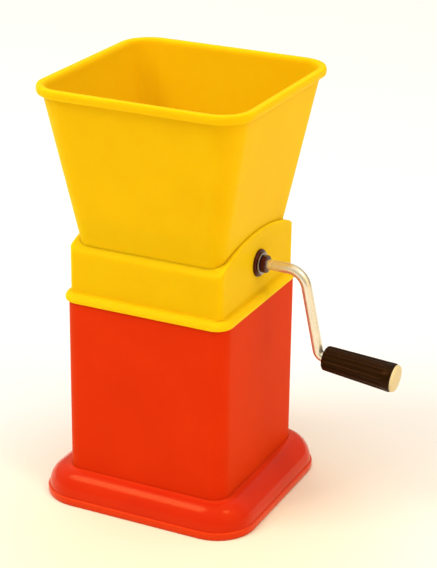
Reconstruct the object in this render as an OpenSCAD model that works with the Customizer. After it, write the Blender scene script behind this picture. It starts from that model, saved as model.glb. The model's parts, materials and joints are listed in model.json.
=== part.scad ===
// Hand-cranked rotary grater in millimetres.
// A flared hopper stands in a drum housing, which sits on a collecting bin with a flared base.
// A bent rod is the drum's shaft, the crank arm and the spindle of the turning grip.
// +X points out of the crank side, -Y is the front, +Z is up.
// The origin is on the table, under the middle of the bin.

/* [Bin and base] */
// Outside width of the square bin
bin_w = 93; // [76:1:120]
// Height of the bin's top edge above the table
bin_h = 113.5; // [90:0.5:140]
// Radius of the bin's upright outer corners
bin_corner_r = 9; // [6:0.5:12]
// Wall of the bin
bin_wall = 2.2; // [1.6:0.1:3]
// Floor of the bin
bin_floor = 2.4; // [1.6:0.1:4]
// Spread of the base beyond the bin on the crank side and far side
base_spread_x = 14.5; // [8:0.5:22]
// Spread of the base beyond the bin at the front and back
base_spread_y = 11.5; // [8:0.5:22]
// Height of the base above the table
base_h = 17.4; // [12:0.2:26]
// Height of the thin lip round the foot of the base
foot_lip_h = 4.3; // [2.5:0.1:7]
// Corner radius of the foot
foot_corner_r = 22.5; // [18:0.5:26]
// Wall of the base
base_wall = 2.4; // [1.6:0.1:3]

/* [Drum housing] */
// Step from the bin's outer face in to the housing's face
housing_step = 2.7; // [2:0.1:5]
// Wall of the housing
housing_wall = 2.4; // [1.8:0.1:3.5]
// Height of the shaft's axis above the bin's top edge
axis_rise = 21.6; // [18:0.1:30]
// Height of the vault's crown above the shaft's axis
crown_rise = 17.7; // [16:0.1:22]
// Radius of the vaulted top
vault_r = 110; // [90:1:140]
// Rounding where the vault meets the front and back
vault_shoulder_r = 6; // [3:0.5:8]
// Height of the lip that rests on the bin
lip_h = 5; // [3:0.1:8]
// Overhang of the lip beyond the bin
lip_overhang = 1.4; // [0.6:0.1:3]
// Depth of the spigot inside the bin's mouth
spigot_depth = 6.5; // [4:0.5:12]
// Gap between the spigot and the bin's inner face
spigot_gap = 0.4; // [0.2:0.05:0.8]

/* [Hopper] */
// Outside width of the hopper's rim
rim_w = 119; // [98:1:145]
// Outer corner radius of the rim
rim_corner_r = 18; // [12:0.5:22]
// Height of the rolled rim
rim_h = 4.6; // [3:0.1:7]
// Overhang of the rim beyond the hopper's wall
rim_overhang = 3.2; // [2:0.1:5]
// Height of the neck, where the wall starts to flare, above the shaft's axis
neck_rise = 12; // [11:0.1:16]
// Corner radius of the neck
neck_corner_r = 7; // [5:0.5:9]
// Height of the rim above the neck
hopper_rise = 82.9; // [60:0.1:110]
// Wall of the hopper
hopper_wall = 2.2; // [1.6:0.1:3]

/* [Drum] */
// Outside diameter of the drum's sheet
drum_d = 50; // [40:0.5:62]
// Thickness of the drum's sheet
drum_sheet = 0.7; // [0.5:0.05:1.2]
// Height of the raised rim round each hole
tooth_h = 1.3; // [0.6:0.1:2]
// Diameter of the grating holes
hole_d = 3.4; // [2:0.1:5]
// Holes round the drum
holes_around = 14; // [8:1:16]
// Rows of holes along the drum
hole_rows = 7; // [3:1:8]

/* [Crank and grip] */
// Diameter of the crank rod
rod_d = 5.5; // [4.5:0.1:7]
// Distance of the upper corner of the crank from the housing's face
crank_out = 25.3; // [20:0.1:35]
// Length of the crank arm between its corners
crank_arm = 46.5; // [36:0.5:60]
// Outward lean of the crank arm
arm_lean = 12.4; // [0:0.1:25]
// Droop of the grip below the shaft's direction
grip_droop = 5.4; // [0:0.1:12]
// Centre-line radius of the upper bend
upper_bend_r = 11; // [8:0.5:14]
// Centre-line radius of the lower bend
lower_bend_r = 4.2; // [4:0.1:6]
// Length of the grip sleeve
grip_len = 38.5; // [32:0.5:50]
// Diameter of the sleeve at its inner end
grip_d_in = 13.2; // [12.6:0.1:18]
// Diameter of the sleeve at its outer end
grip_d_out = 15.4; // [15:0.1:22]

/* [Fits] */
// Radial running clearance of a shaft in its bush
run_gap = 0.06; // [0.02:0.01:0.1]
// Gap between pieces that are fitted and don't move
set_gap = 0.03; // [0.01:0.01:0.06]
// Gap between faces that turn past each other
face_gap = 0.3; // [0.2:0.05:0.5]

/* [Hidden] */
$fn = 48;
arc_steps = 7;
past = 1;

// Levels above the table
axis_z = bin_h + axis_rise;
crown_z = axis_z + crown_rise;
neck_z = axis_z + neck_rise;
rim_z = neck_z + hopper_rise;

// Bin and base
bin_in = bin_w - 2 * bin_wall;
bin_in_r = bin_corner_r - bin_wall;
foot_step = 1;
foot_edge = 0.8;
bulge_x = base_spread_x - foot_step;
bulge_y = base_spread_y - foot_step;
base_land = 0.6;

// Housing
housing_w = bin_w - 2 * housing_step;
housing_edge_r = 2.5;
housing_in = housing_w - 2 * housing_wall;
wall_in_x = housing_in / 2;
face_x = housing_w / 2;
spigot_w = bin_in - 2 * spigot_gap;
spigot_wall = 2;
lug_h = 3;
lug_r = 4.5;

// Hopper
hopper_slip = 0.1;
neck_w = housing_in - 2 * hopper_slip;
seat_z = axis_z + 3;
ledge_z = neck_z - 1.2;
ledge_w = 1;
flare_top_z = rim_z - rim_h;
flare_w = rim_w - 2 * rim_overhang;
flare_r = rim_corner_r - rim_overhang;
notch_r = 11;
boss_r = 3.8;
boss_top_z = ledge_z - 0.5;

// Screws that join hopper and housing
screw_r = 1.5;
screw_head_r = 2.8;
screw_head_h = 2;
screw_at = neck_w / 2 - neck_corner_r + 0.2;
screw_grip = 6;

// Bushes
bush_r = 5.5;
bush_flange_r = 7.3;
bush_flange_t = 1.5;
bush_tail = 4.2;
bush_in_x = wall_in_x - bush_tail;
locknut_t = 3;
locknut_r = 8;
bush_out_x = face_x + bush_flange_t;

// Pieces on the shaft
rod_r = rod_d / 2;
thrust_t = 1;
thrust_r = 6;
hub_end_x = bush_in_x - face_gap - thrust_t;
hub_overhang = 3;
drum_half = hub_end_x - hub_overhang;
washer_t = 0.8;
washer_r = 5.9;
washer_x = bush_out_x + face_gap;
collar_t = 2.6;
collar_r = 4.7;
collar_x = washer_x + washer_t;
grub_r = 1.1;
nut_t = 4;
nut_r = 5;
rod_tail = 1.2;
rod_start_x = -(washer_x + washer_t + nut_t + rod_tail);

// Drum and hubs
drum_r = drum_d / 2;
drum_in_r = drum_r - drum_sheet;
tooth_tip_r = drum_r + tooth_h;
hole_r = hole_d / 2;
tooth_foot = 0.9;
tooth_edge = 0.25;
hub_ring_t = 5;
row_pitch = 2 * (drum_half - hub_ring_t) / hole_rows;
hub_ring_wall = 2.4;
hub_boss_r = 6.5;
hub_boss_len = 9;
spoke_w = 4;
spoke_inset = 0.6;
spokes = 4;
pin_r = 1.2;
pin_x = hub_end_x - hub_boss_len / 2;

// Throat insert
throat_gap = 0.7;
throat_z = ledge_z + 2;
throat_half_y = sqrt(pow(tooth_tip_r, 2) - pow(ledge_z - axis_z, 2)) + throat_gap;
throat_half_x = drum_half + throat_gap;
funnel_rise = 14;
funnel_top_z = ledge_z + funnel_rise;
funnel_edge = 0.8;
funnel_wall = 2;
funnel_slip = 0.05;

// Crank corners in the plane of the crank
corner_x = face_x + crank_out;
upper_turn = 90 - arm_lean;
lower_turn = 90 - arm_lean - grip_droop;
upper_run = upper_bend_r * tan(upper_turn / 2);
lower_run = lower_bend_r * tan(lower_turn / 2);
bend_lap = 2;
bend_thinning = 0.03;
grip_x = corner_x + crank_arm * sin(arm_lean);
grip_z = axis_z - crank_arm * cos(arm_lean);

// Pieces along the grip's axis, measured from the crank's lower corner
sleeve_start = lower_run + 0.2;
sleeve_end = sleeve_start + grip_len;
pocket_r = 5.2;
pocket_depth = 6.5;
pocket_floor = sleeve_end - pocket_depth;
retainer_t = 0.8;
retainer_r = 4.6;
retainer_at = pocket_floor + face_gap;
spindle_end = retainer_at + retainer_t + 1.2;
cap_plug = 2.8;
cap_r = 7.1;
cap_t = 2.2;
cap_dome = 0.7;
sleeve_chamfer = 1.4;
flutes = 14;
flute_r = 1;
flute_depth = 0.55;

// Shapes that several pieces share

function corner_arc(x, y, r, start) =
    [for (i = [0:arc_steps]) [x + r * cos(start + 90 * i / arc_steps),
                              y + r * sin(start + 90 * i / arc_steps)]];

// Outline of a rectangle with round corners, counterclockwise
function round_rect(w, d, r) = concat(
    corner_arc(w / 2 - r, d / 2 - r, r, 0),
    corner_arc(r - w / 2, d / 2 - r, r, 90),
    corner_arc(r - w / 2, r - d / 2, r, 180),
    corner_arc(w / 2 - r, r - d / 2, r, 270));

module block(w, d, r, low, high) {
    translate([0, 0, low])
        linear_extrude(high - low)
            polygon(round_rect(w, d, r));
}

// Solid through a stack of rings, each [width, depth, corner radius, height]
module loft(rings) {
    n = 4 * (arc_steps + 1);
    top = (len(rings) - 1) * n;
    points = [for (g = rings) for (p = round_rect(g[0], g[1], g[2])) [p[0], p[1], g[3]]];
    sides = [for (k = [0:len(rings) - 2]) for (i = [0:n - 1])
        [k * n + i, (k + 1) * n + i, (k + 1) * n + (i + 1) % n, k * n + (i + 1) % n]];
    bottom_face = [for (i = [0:n - 1]) i];
    top_face = [for (i = [n - 1:-1:0]) top + i];
    polyhedron(points, concat([bottom_face], sides, [top_face]));
}

// Round bar along the shaft's axis between two stations
module along_shaft(r, from, to, r_to = -1) {
    translate([from, 0, axis_z])
        rotate([0, 90, 0])
            cylinder(h = to - from, r1 = r, r2 = r_to < 0 ? r : r_to);
}

// Hexagonal bar along the shaft's axis
module hex_along_shaft(r, from, to) {
    translate([from, 0, axis_z])
        rotate([0, 90, 0])
            cylinder(h = to - from, r = r, $fn = 6);
}

// Frame of the grip: its +Z runs along the spindle from the crank's lower corner
module on_grip() {
    translate([grip_x, 0, grip_z])
        rotate([0, 90 + grip_droop, 0])
            children();
}

module on_far_side() {
    mirror([1, 0, 0])
        children();
}

// Each corner's own +X and +Y point out of the corner
module at_corners(at) {
    for (sx = [-1, 1])
        for (sy = [-1, 1])
            scale([sx, sy, 1])
                translate([at, at, 0])
                    children();
}

// Bin and base

module container() {
    color("#e8341a")
    difference() {
        block(bin_w, bin_w, bin_corner_r, 0, bin_h);
        block(bin_in, bin_in, bin_in_r, bin_floor, bin_h + past);
    }
}

// Rings of the base's bulge, shrunk by an inset for the hollow under it
function bulge_rings(inset) = [for (a = [0:15:90])
    [bin_w + 2 * (base_land + (bulge_x - base_land - inset) * cos(a)),
     bin_w + 2 * (base_land + (bulge_y - base_land - inset) * cos(a)),
     bin_corner_r + (foot_corner_r - foot_step - inset - bin_corner_r) * cos(a),
     foot_lip_h + (base_h - foot_lip_h - inset) * sin(a)]];

module base_stand() {
    foot_w = bin_w + 2 * base_spread_x;
    foot_d = bin_w + 2 * base_spread_y;
    inner_w = foot_w - 2 * (foot_step + base_wall);
    inner_d = foot_d - 2 * (foot_step + base_wall);
    foot = [
        [foot_w - 2 * foot_edge, foot_d - 2 * foot_edge, foot_corner_r - foot_edge, 0],
        [foot_w, foot_d, foot_corner_r, foot_edge],
        [foot_w, foot_d, foot_corner_r, foot_lip_h - foot_edge / 2]
    ];
    hollow = [[inner_w, inner_d, foot_corner_r - foot_step - base_wall, -past]];
    socket_w = bin_w + 2 * set_gap;
    color("#e23312")
    difference() {
        loft(concat(foot, bulge_rings(0)));
        difference() {
            loft(concat(hollow, bulge_rings(base_wall)));
            block(socket_w + 2 * base_wall, socket_w + 2 * base_wall,
                  bin_corner_r + base_wall, -2 * past, base_h + past);
        }
        block(socket_w, socket_w, bin_corner_r + set_gap, -2 * past, base_h + past);
    }
}

// Housing, hopper and throat

// Outline of the vaulted housing across the shaft, as [y, z]
function vault_outline() =
    let (yc = face_x - vault_shoulder_r,
         mid_z = crown_z - vault_r,
         reach = vault_r - vault_shoulder_r,
         zc = mid_z + sqrt(reach * reach - yc * yc),
         turn = asin(yc / reach),
         shoulder = [for (i = [0:6]) let (a = (90 - turn) * i / 6)
             [yc + vault_shoulder_r * cos(a), zc + vault_shoulder_r * sin(a)]],
         vault = [for (i = [1:11]) let (a = turn * (1 - i / 6))
             [vault_r * sin(a), mid_z + vault_r * cos(a)]],
         other = [for (i = [6:-1:0]) [-shoulder[i][0], shoulder[i][1]]])
    concat([[face_x, bin_h]], shoulder, vault, other, [[-face_x, bin_h]]);

// Half width and corner radius of the hopper's outer face at a height in its flare
function flare_share(z) = (z - neck_z) / (flare_top_z - neck_z);
function wall_w(z) = neck_w + (flare_w - neck_w) * flare_share(z);
function wall_r(z) = neck_corner_r + (flare_r - neck_corner_r) * flare_share(z);
function wall_ring(z, inset) =
    [wall_w(z) - 2 * inset, wall_w(z) - 2 * inset, wall_r(z) - inset, z];
function neck_ring(z, inset) =
    [neck_w - 2 * inset, neck_w - 2 * inset, neck_corner_r - inset, z];

// Rings of the lip that rests on the bin
function lip_rings() = [
    for (g = [[0, -0.5], [0.15, 0], [0.45, 0], [0.75, -0.8], [1, -2.4]])
    [bin_w + 2 * (lip_overhang + g[1]), bin_w + 2 * (lip_overhang + g[1]),
     bin_corner_r + g[1] / 2, bin_h + lip_h * g[0]]];

module drum_housing() {
    pass_w = min(housing_in, spigot_w - 2 * spigot_wall);
    color("#f8bb10")
    difference() {
        union() {
            intersection() {
                translate([-face_x, 0, 0])
                    rotate([90, 0, 90])
                        linear_extrude(housing_w)
                            polygon(vault_outline());
                block(housing_w, housing_w, housing_edge_r, bin_h, crown_z + past);
            }
            loft(lip_rings());
            block(spigot_w, spigot_w, bin_in_r - spigot_gap, bin_h - spigot_depth, bin_h + past);
        }
        difference() {
            block(housing_in, housing_in, neck_corner_r + hopper_slip, bin_h + lip_h / 2, neck_z);
            at_corners(screw_at)
                corner_pad(lug_r, seat_z - lug_h, seat_z);
        }
        block(pass_w, pass_w, neck_corner_r, bin_h - spigot_depth - past, bin_h + lip_h);
        loft([neck_ring(neck_z - past, -hopper_slip), neck_ring(neck_z, -hopper_slip),
              wall_ring(crown_z + past, -hopper_slip)]);
        along_shaft(bush_r + set_gap, -face_x - past, face_x + past);
        at_corners(screw_at)
            translate([0, 0, seat_z - lug_h - past])
                cylinder(h = lug_h + 2 * past, r = screw_r + set_gap);
    }
}

// Round pad for a screw, joined to the corner behind it, from one height to another
module corner_pad(r, low, high) {
    translate([0, 0, low]) {
        cylinder(h = high - low, r = r);
        cube([neck_corner_r, neck_corner_r, high - low]);
    }
}

module hopper() {
    round_over = rim_h / 5;
    color("#fac010")
    difference() {
        loft([neck_ring(seat_z, 0), neck_ring(neck_z, 0), wall_ring(flare_top_z, 0),
              wall_ring(flare_top_z, -rim_overhang + 0.7),
              [rim_w, rim_w, rim_corner_r, flare_top_z + round_over],
              [rim_w, rim_w, rim_corner_r, rim_z - 2 * round_over],
              [rim_w - round_over, rim_w - round_over, rim_corner_r - round_over / 2,
               rim_z - round_over / 2],
              [rim_w - 3 * round_over, rim_w - 3 * round_over, rim_corner_r - 1.5 * round_over,
               rim_z]]);
        difference() {
            block(neck_w - 2 * (hopper_wall + ledge_w), neck_w - 2 * (hopper_wall + ledge_w),
                  neck_corner_r - hopper_wall - ledge_w, seat_z - past, ledge_z + past / 2);
            at_corners(screw_at)
                corner_pad(boss_r, seat_z - past, boss_top_z);
        }
        loft([neck_ring(ledge_z, hopper_wall), neck_ring(neck_z, hopper_wall),
              wall_ring(rim_z - round_over, hopper_wall),
              wall_ring(rim_z + past, hopper_wall - round_over - past)]);
        along_shaft(notch_r, -face_x, face_x);
        at_corners(screw_at)
            translate([0, 0, seat_z - past])
                cylinder(h = screw_grip + past, r = screw_r + set_gap);
    }
}

// Four screws up through the housing's lugs into the hopper's bosses
module hopper_screws() {
    head_z = seat_z - lug_h - screw_head_h;
    color("#b9bcc0")
    at_corners(screw_at)
        difference() {
            union() {
                translate([0, 0, head_z])
                    cylinder(h = screw_head_h, r = screw_head_r);
                translate([0, 0, head_z + screw_head_h])
                    cylinder(h = lug_h + screw_grip - past, r = screw_r);
            }
            translate([0, 0, head_z - past])
                cylinder(h = screw_head_h, r = screw_r, $fn = 6);
        }
}

module throat_funnel() {
    slip = hopper_wall + funnel_slip;
    color("#f4ead2")
    difference() {
        loft([neck_ring(ledge_z, slip), neck_ring(neck_z, slip), wall_ring(funnel_top_z, slip)]);
        loft([[2 * throat_half_x, 2 * throat_half_y, 1, throat_z],
              wall_ring(funnel_top_z + 0.01, slip + funnel_edge)]);
        block(2 * throat_half_x, 2 * throat_half_y, 1, ledge_z - past, throat_z + past / 2);
        for (side = [-1, 1])
            scale([1, side, 1])
                funnel_pocket(slip);
    }
}

// Hollow under the sloping face at the front and back of the funnel
module funnel_pocket(slip) {
    inner_y = throat_half_y + funnel_wall;
    outer_y = neck_w / 2 - slip - funnel_wall;
    top_y = wall_w(funnel_top_z) / 2 - slip - funnel_edge;
    pitch = (funnel_top_z - throat_z) / (top_y - throat_half_y);
    inner_top = throat_z - funnel_wall + pitch * (inner_y - throat_half_y);
    outer_top = throat_z - 1.3 * funnel_wall + pitch * (outer_y - throat_half_y);
    length = 2 * (throat_half_x - 4);
    translate([-length / 2, 0, 0])
        rotate([90, 0, 90])
            linear_extrude(length)
                polygon([[inner_y, ledge_z - past], [outer_y, ledge_z - past],
                         [outer_y, outer_top], [inner_y, inner_top]]);
}

// Bushes in the housing's end walls

module flanged_bush() {
    difference() {
        union() {
            along_shaft(bush_r, bush_in_x, face_x);
            along_shaft(bush_flange_r, face_x, bush_out_x - 0.5);
            along_shaft(bush_flange_r, bush_out_x - 0.5, bush_out_x, bush_flange_r - 0.5);
        }
        along_shaft(rod_r + run_gap, bush_in_x - past, bush_out_x + past);
    }
}

module drive_bush() {
    color("#3a120c")
        flanged_bush();
}

module far_bush() {
    color("#3a120c")
    on_far_side()
        flanged_bush();
}

module locknut() {
    difference() {
        hex_along_shaft(locknut_r, wall_in_x - locknut_t, wall_in_x);
        along_shaft(bush_r + set_gap, wall_in_x - locknut_t - past, wall_in_x + past);
    }
}

module bush_locknuts() {
    color("#4a1a12") {
        locknut();
        on_far_side()
            locknut();
    }
}

// Crank rod and what is fixed on it

// Bend in the crank's plane about [x, z]; the rod's centre sweeps from start through turn,
// thinned as by bending, and each end runs on a little into the straight rod
module bend(x, z, bend_r, start, turn) {
    translate([x, 0, z])
        rotate([90, 0, 0])
            rotate([0, 0, start - bend_lap])
                rotate_extrude(angle = turn + 2 * bend_lap)
                    translate([bend_r, 0])
                        circle(r = rod_r - bend_thinning);
}

module crank_rod() {
    upper_x = corner_x - upper_run;
    arm = [sin(arm_lean), -cos(arm_lean)];
    arm_start = [corner_x, axis_z] + upper_run * arm;
    lower = [corner_x, axis_z] + (crank_arm - lower_run) * arm;
    side = [cos(arm_lean), sin(arm_lean)];
    centre = lower + lower_bend_r * side;
    color("#c9c4b8")
    difference() {
        union() {
            along_shaft(rod_r, rod_start_x, upper_x);
            bend(upper_x, axis_z - upper_bend_r, upper_bend_r, arm_lean, upper_turn);
            translate([arm_start[0], 0, arm_start[1]])
                rotate([0, 180 - arm_lean, 0])
                    cylinder(h = crank_arm - upper_run - lower_run, r = rod_r);
            bend(centre[0], centre[1], lower_bend_r, 180 + arm_lean, lower_turn);
            on_grip()
                translate([0, 0, lower_run])
                    cylinder(h = spindle_end - lower_run, r = rod_r);
        }
        for (side = [-1, 1])
            translate([side * pin_x, 0, axis_z - rod_d])
                cylinder(h = 2 * rod_d, r = pin_r + set_gap);
    }
}

module shaft_washer(r, t, from) {
    difference() {
        along_shaft(r, from, from + t);
        along_shaft(rod_r + set_gap, from - past, from + t + past);
    }
}

module drive_washer() {
    color("#c8c8c6")
        shaft_washer(washer_r, washer_t, washer_x);
}

module far_washer() {
    color("#c8c8c6")
    on_far_side()
        shaft_washer(washer_r, washer_t, washer_x);
}

module far_nut() {
    color("#b4b6b8")
    on_far_side()
        difference() {
            hex_along_shaft(nut_r, collar_x, collar_x + nut_t);
            along_shaft(rod_r + set_gap, collar_x - past, collar_x + nut_t + past);
        }
}

module shaft_collar() {
    color("#2a1410")
    difference() {
        shaft_washer(collar_r, collar_t, collar_x);
        translate([collar_x + collar_t / 2, 0, axis_z])
            cylinder(h = collar_r + past, r = grub_r + set_gap);
    }
}

module collar_grub_screw() {
    color("#77797c")
    translate([collar_x + collar_t / 2, 0, axis_z + rod_r + set_gap])
        difference() {
            cylinder(h = collar_r - rod_r - 2 * set_gap, r = grub_r);
            translate([0, 0, collar_r - rod_r - past])
                cylinder(h = 2 * past, r = grub_r / 2, $fn = 6);
        }
}

module thrust_washers() {
    color("#d8d8d4") {
        shaft_washer(thrust_r, thrust_t, hub_end_x);
        on_far_side()
            shaft_washer(thrust_r, thrust_t, hub_end_x);
    }
}

// Every second row of holes is turned by half a pitch
module each_hole() {
    for (row = [0:hole_rows - 1])
        for (i = [0:holes_around - 1])
            translate([(row - (hole_rows - 1) / 2) * row_pitch, 0, axis_z])
                rotate([(i + (row % 2) / 2) * 360 / holes_around, 0, 0])
                    children();
}

module grating_drum() {
    color("#d2d4d4")
    difference() {
        union() {
            along_shaft(drum_r, -drum_half, drum_half);
            each_hole()
                translate([0, 0, drum_in_r])
                    cylinder(h = drum_sheet + tooth_h, r1 = hole_r + tooth_foot,
                             r2 = hole_r + tooth_edge);
        }
        along_shaft(drum_in_r, -drum_half - past, drum_half + past);
        each_hole()
            translate([0, 0, drum_in_r - past])
                cylinder(h = drum_sheet + tooth_h + 2 * past, r = hole_r);
    }
}

module drum_hub() {
    ring_r = drum_in_r - set_gap;
    boss_x = hub_end_x - hub_boss_len;
    difference() {
        union() {
            difference() {
                along_shaft(ring_r, drum_half - hub_ring_t, drum_half);
                along_shaft(ring_r - hub_ring_wall, drum_half - hub_ring_t - past, drum_half + past);
            }
            along_shaft(hub_boss_r, boss_x, hub_end_x);
            for (i = [0:spokes - 1])
                translate([drum_half - hub_ring_t + spoke_inset, 0, axis_z])
                    rotate([45 + i * 360 / spokes, 0, 0])
                        translate([0, -spoke_w / 2, hub_boss_r - past])
                            cube([hub_ring_t - 2 * spoke_inset, spoke_w,
                                  ring_r - hub_ring_wall / 2 - hub_boss_r + past]);
        }
        along_shaft(rod_r + set_gap, boss_x - past, hub_end_x + past);
        translate([pin_x, 0, axis_z - hub_boss_r - past])
            cylinder(h = 2 * (hub_boss_r + past), r = pin_r + set_gap);
    }
}

module drum_hub_near() {
    color("#e9e4d6")
        drum_hub();
}

module drum_hub_far() {
    color("#e9e4d6")
    on_far_side()
        drum_hub();
}

module drive_pins() {
    color("#a9abad")
    for (side = [-1, 1])
        translate([side * pin_x, 0, axis_z - hub_boss_r])
            cylinder(h = 2 * hub_boss_r, r = pin_r);
}

// Grip

module grip_sleeve() {
    r_in = grip_d_in / 2;
    r_out = grip_d_out / 2;
    splay = atan((r_out - r_in) / grip_len);
    color("#2a160a")
    on_grip()
        difference() {
            translate([0, 0, sleeve_start])
                rotate_extrude()
                    polygon([[0, 0], [r_in - sleeve_chamfer, 0], [r_in, sleeve_chamfer],
                             [r_out, grip_len - sleeve_chamfer], [cap_r + 0.2, grip_len],
                             [0, grip_len]]);
            translate([0, 0, sleeve_start - past])
                cylinder(h = grip_len + 2 * past, r = rod_r + run_gap);
            translate([0, 0, pocket_floor])
                cylinder(h = pocket_depth + past, r = pocket_r);
            for (i = [0:flutes - 1])
                rotate([0, 0, i * 360 / flutes])
                    translate([r_in + flute_r - flute_depth, 0, sleeve_start - past])
                        rotate([0, splay, 0])
                            cylinder(h = grip_len - 4, r = flute_r);
        }
}

module grip_cap() {
    color("#efdc9a")
    on_grip() {
        translate([0, 0, sleeve_end - cap_plug])
            cylinder(h = cap_plug, r = pocket_r - set_gap);
        translate([0, 0, sleeve_end])
            cylinder(h = cap_t - cap_dome, r = cap_r);
        translate([0, 0, sleeve_end + cap_t - cap_dome])
            cylinder(h = cap_dome, r1 = cap_r, r2 = cap_r - 1.2);
    }
}

module grip_retainer() {
    color("#8f9194")
    on_grip()
        translate([0, 0, retainer_at])
            difference() {
                cylinder(h = retainer_t, r = retainer_r);
                translate([0, 0, -past])
                    cylinder(h = retainer_t + 2 * past, r = rod_r + set_gap);
            }
}

container();
base_stand();
drum_housing();
hopper();
hopper_screws();
throat_funnel();
drive_bush();
far_bush();
bush_locknuts();
crank_rod();
drive_washer();
far_washer();
far_nut();
shaft_collar();
collar_grub_screw();
grating_drum();
drum_hub_near();
drum_hub_far();
drive_pins();
thrust_washers();
grip_sleeve();
grip_cap();
grip_retainer();
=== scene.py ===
import json
import math

import bmesh
import bpy
from mathutils import Matrix, Vector


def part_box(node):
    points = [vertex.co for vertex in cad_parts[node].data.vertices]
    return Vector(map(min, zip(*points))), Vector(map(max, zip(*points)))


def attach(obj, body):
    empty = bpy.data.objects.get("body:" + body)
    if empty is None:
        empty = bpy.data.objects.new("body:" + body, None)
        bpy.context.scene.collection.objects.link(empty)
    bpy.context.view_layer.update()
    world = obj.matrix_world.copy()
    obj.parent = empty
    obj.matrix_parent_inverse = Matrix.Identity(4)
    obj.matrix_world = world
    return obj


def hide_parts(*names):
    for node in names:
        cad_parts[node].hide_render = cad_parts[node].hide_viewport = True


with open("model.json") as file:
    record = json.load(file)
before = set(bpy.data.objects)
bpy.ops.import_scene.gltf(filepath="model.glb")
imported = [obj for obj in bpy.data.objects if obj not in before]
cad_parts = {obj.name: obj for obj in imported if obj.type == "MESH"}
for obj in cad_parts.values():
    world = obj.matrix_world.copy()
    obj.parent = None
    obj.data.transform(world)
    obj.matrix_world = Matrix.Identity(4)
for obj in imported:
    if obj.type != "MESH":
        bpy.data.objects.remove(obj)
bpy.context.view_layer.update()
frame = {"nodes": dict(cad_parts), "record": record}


# ------------------------------------------------------------------ collecting bin
# A square bucket with round upright corners, injection moulded in red polypropylene.
# Its foot is a tight fit in the base, and its mouth takes the spigot of the housing.

mm = 0.001
bin_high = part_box("container")[1]
bin_half = bin_high.x
bin_top = bin_high.z
bin_corner = 9 * mm
bin_wall = 2.2 * mm
bin_floor = 2.4 * mm


def ring(half_x, half_y, corner, z, rub=0.0, sides=16, arc=10):
    """Level outline with round corners, counterclockwise, with how strongly a highlight is painted on its
    edge.
    """
    points = []
    quarters = [(1, 1), (-1, 1), (-1, -1), (1, -1)]
    for k, (sx, sy) in enumerate(quarters):
        bend = [math.radians(90 * (k + i / arc)) for i in range(arc + 1)]
        turned = [Vector((sx * (half_x - corner) + corner * math.cos(a),
                          sy * (half_y - corner) + corner * math.sin(a), z)) for a in bend]
        nx, ny = quarters[(k + 1) % 4]
        end = Vector((nx * (half_x - corner) + corner * math.cos(bend[-1]),
                      ny * (half_y - corner) + corner * math.sin(bend[-1]), z))
        points += turned + [turned[-1].lerp(end, j / sides) for j in range(1, sides)]
    return points, rub


def join_rows(build, rows, looped):
    """Faces from each row of vertices to the next, and from the last to the first if looped."""
    count = len(rows[0])
    for k in range(len(rows) if looped else len(rows) - 1):
        here, there = rows[k], rows[(k + 1) % len(rows)]
        for i in range(count):
            j = (i + 1) % count
            build.faces.new((here[i], here[j], there[j], there[i]))


def put_in_scene(name, data):
    """A new object in the scene."""
    thing = bpy.data.objects.new(name, data)
    bpy.context.scene.collection.objects.link(thing)
    return thing


def as_drawn(name, build):
    """Turns a build into an object in the scene, as it is."""
    mesh = bpy.data.meshes.new(name)
    build.to_mesh(mesh)
    build.free()
    return put_in_scene(name, mesh)


def settle(name, build, sharp=38):
    """Turns a build into an object in the scene, smooth except where faces meet at an angle."""
    bmesh.ops.remove_doubles(build, verts=build.verts, dist=0.001 * mm)
    bmesh.ops.recalc_face_normals(build, faces=build.faces)
    piece = as_drawn(name, build)
    piece.data.shade_smooth()
    piece.data.set_sharp_from_angle(angle=math.radians(sharp))
    return piece


def skin(name, rings, looped=False):
    """Mesh over a stack of rings: capped at both ends, or looped from the last ring to the first."""
    build = bmesh.new()
    # Each ring's share of painted highlight is kept on its vertices.
    rubbed = build.verts.layers.float.new("rubbed")
    rows = []
    for points, rub in rings:
        rows.append([build.verts.new(p) for p in points])
        for vert in rows[-1]:
            vert[rubbed] = rub
    join_rows(build, rows, looped)
    if not looped:
        build.faces.new(rows[0][::-1])
        build.faces.new(rows[-1])
    return settle(name, build)


def even_shading(piece):
    """Keeps broad moulded faces flat right up to their small rounded edges."""
    evened = piece.modifiers.new("even shading", "WEIGHTED_NORMAL")
    evened.keep_sharp = True
    return piece


def from_hex(code):
    """An sRGB hex colour as the linear numbers that a shader takes."""
    parts = [int(code[i:i + 2], 16) / 255 for i in (0, 2, 4)]
    return [c / 12.92 if c <= 0.04045 else ((c + 0.055) / 1.055) ** 2.4 for c in parts] + [1.0]


def add(tree, kind, sockets=None, **settings):
    """A node of that kind with its settings, and each socket's value or the link into it."""
    node = tree.nodes.new(kind)
    for name, value in settings.items():
        setattr(node, name, value)
    for socket, value in (sockets or {}).items():
        if isinstance(value, bpy.types.NodeSocket):
            tree.links.new(value, node.inputs[socket])
        else:
            node.inputs[socket].default_value = value
    return node


def finish_of(name, **constants):
    """A new material, its node tree and its shader, with the shader's even values set."""
    finish = bpy.data.materials.new(name)
    finish.use_nodes = True
    shader = finish.node_tree.nodes["Principled BSDF"]
    for socket, value in constants.items():
        shader.inputs[socket.replace("_", " ")].default_value = value
    return finish, finish.node_tree, shader


def reckon(tree, operation, first, second=None):
    """The result of one sum in a tree."""
    return add(tree, "ShaderNodeMath", {0: first} if second is None else {0: first, 1: second},
               operation=operation).outputs["Value"]


def own_space(tree):
    """The place on a piece, in its own space."""
    return add(tree, "ShaderNodeTexCoord").outputs["Object"]


def speckle(tree, place, size, detail):
    """Noise with grains of about that size."""
    return add(tree, "ShaderNodeTexNoise", {"Vector": place, "Scale": 1 / size,
                                            "Detail": detail}).outputs["Fac"]


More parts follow.
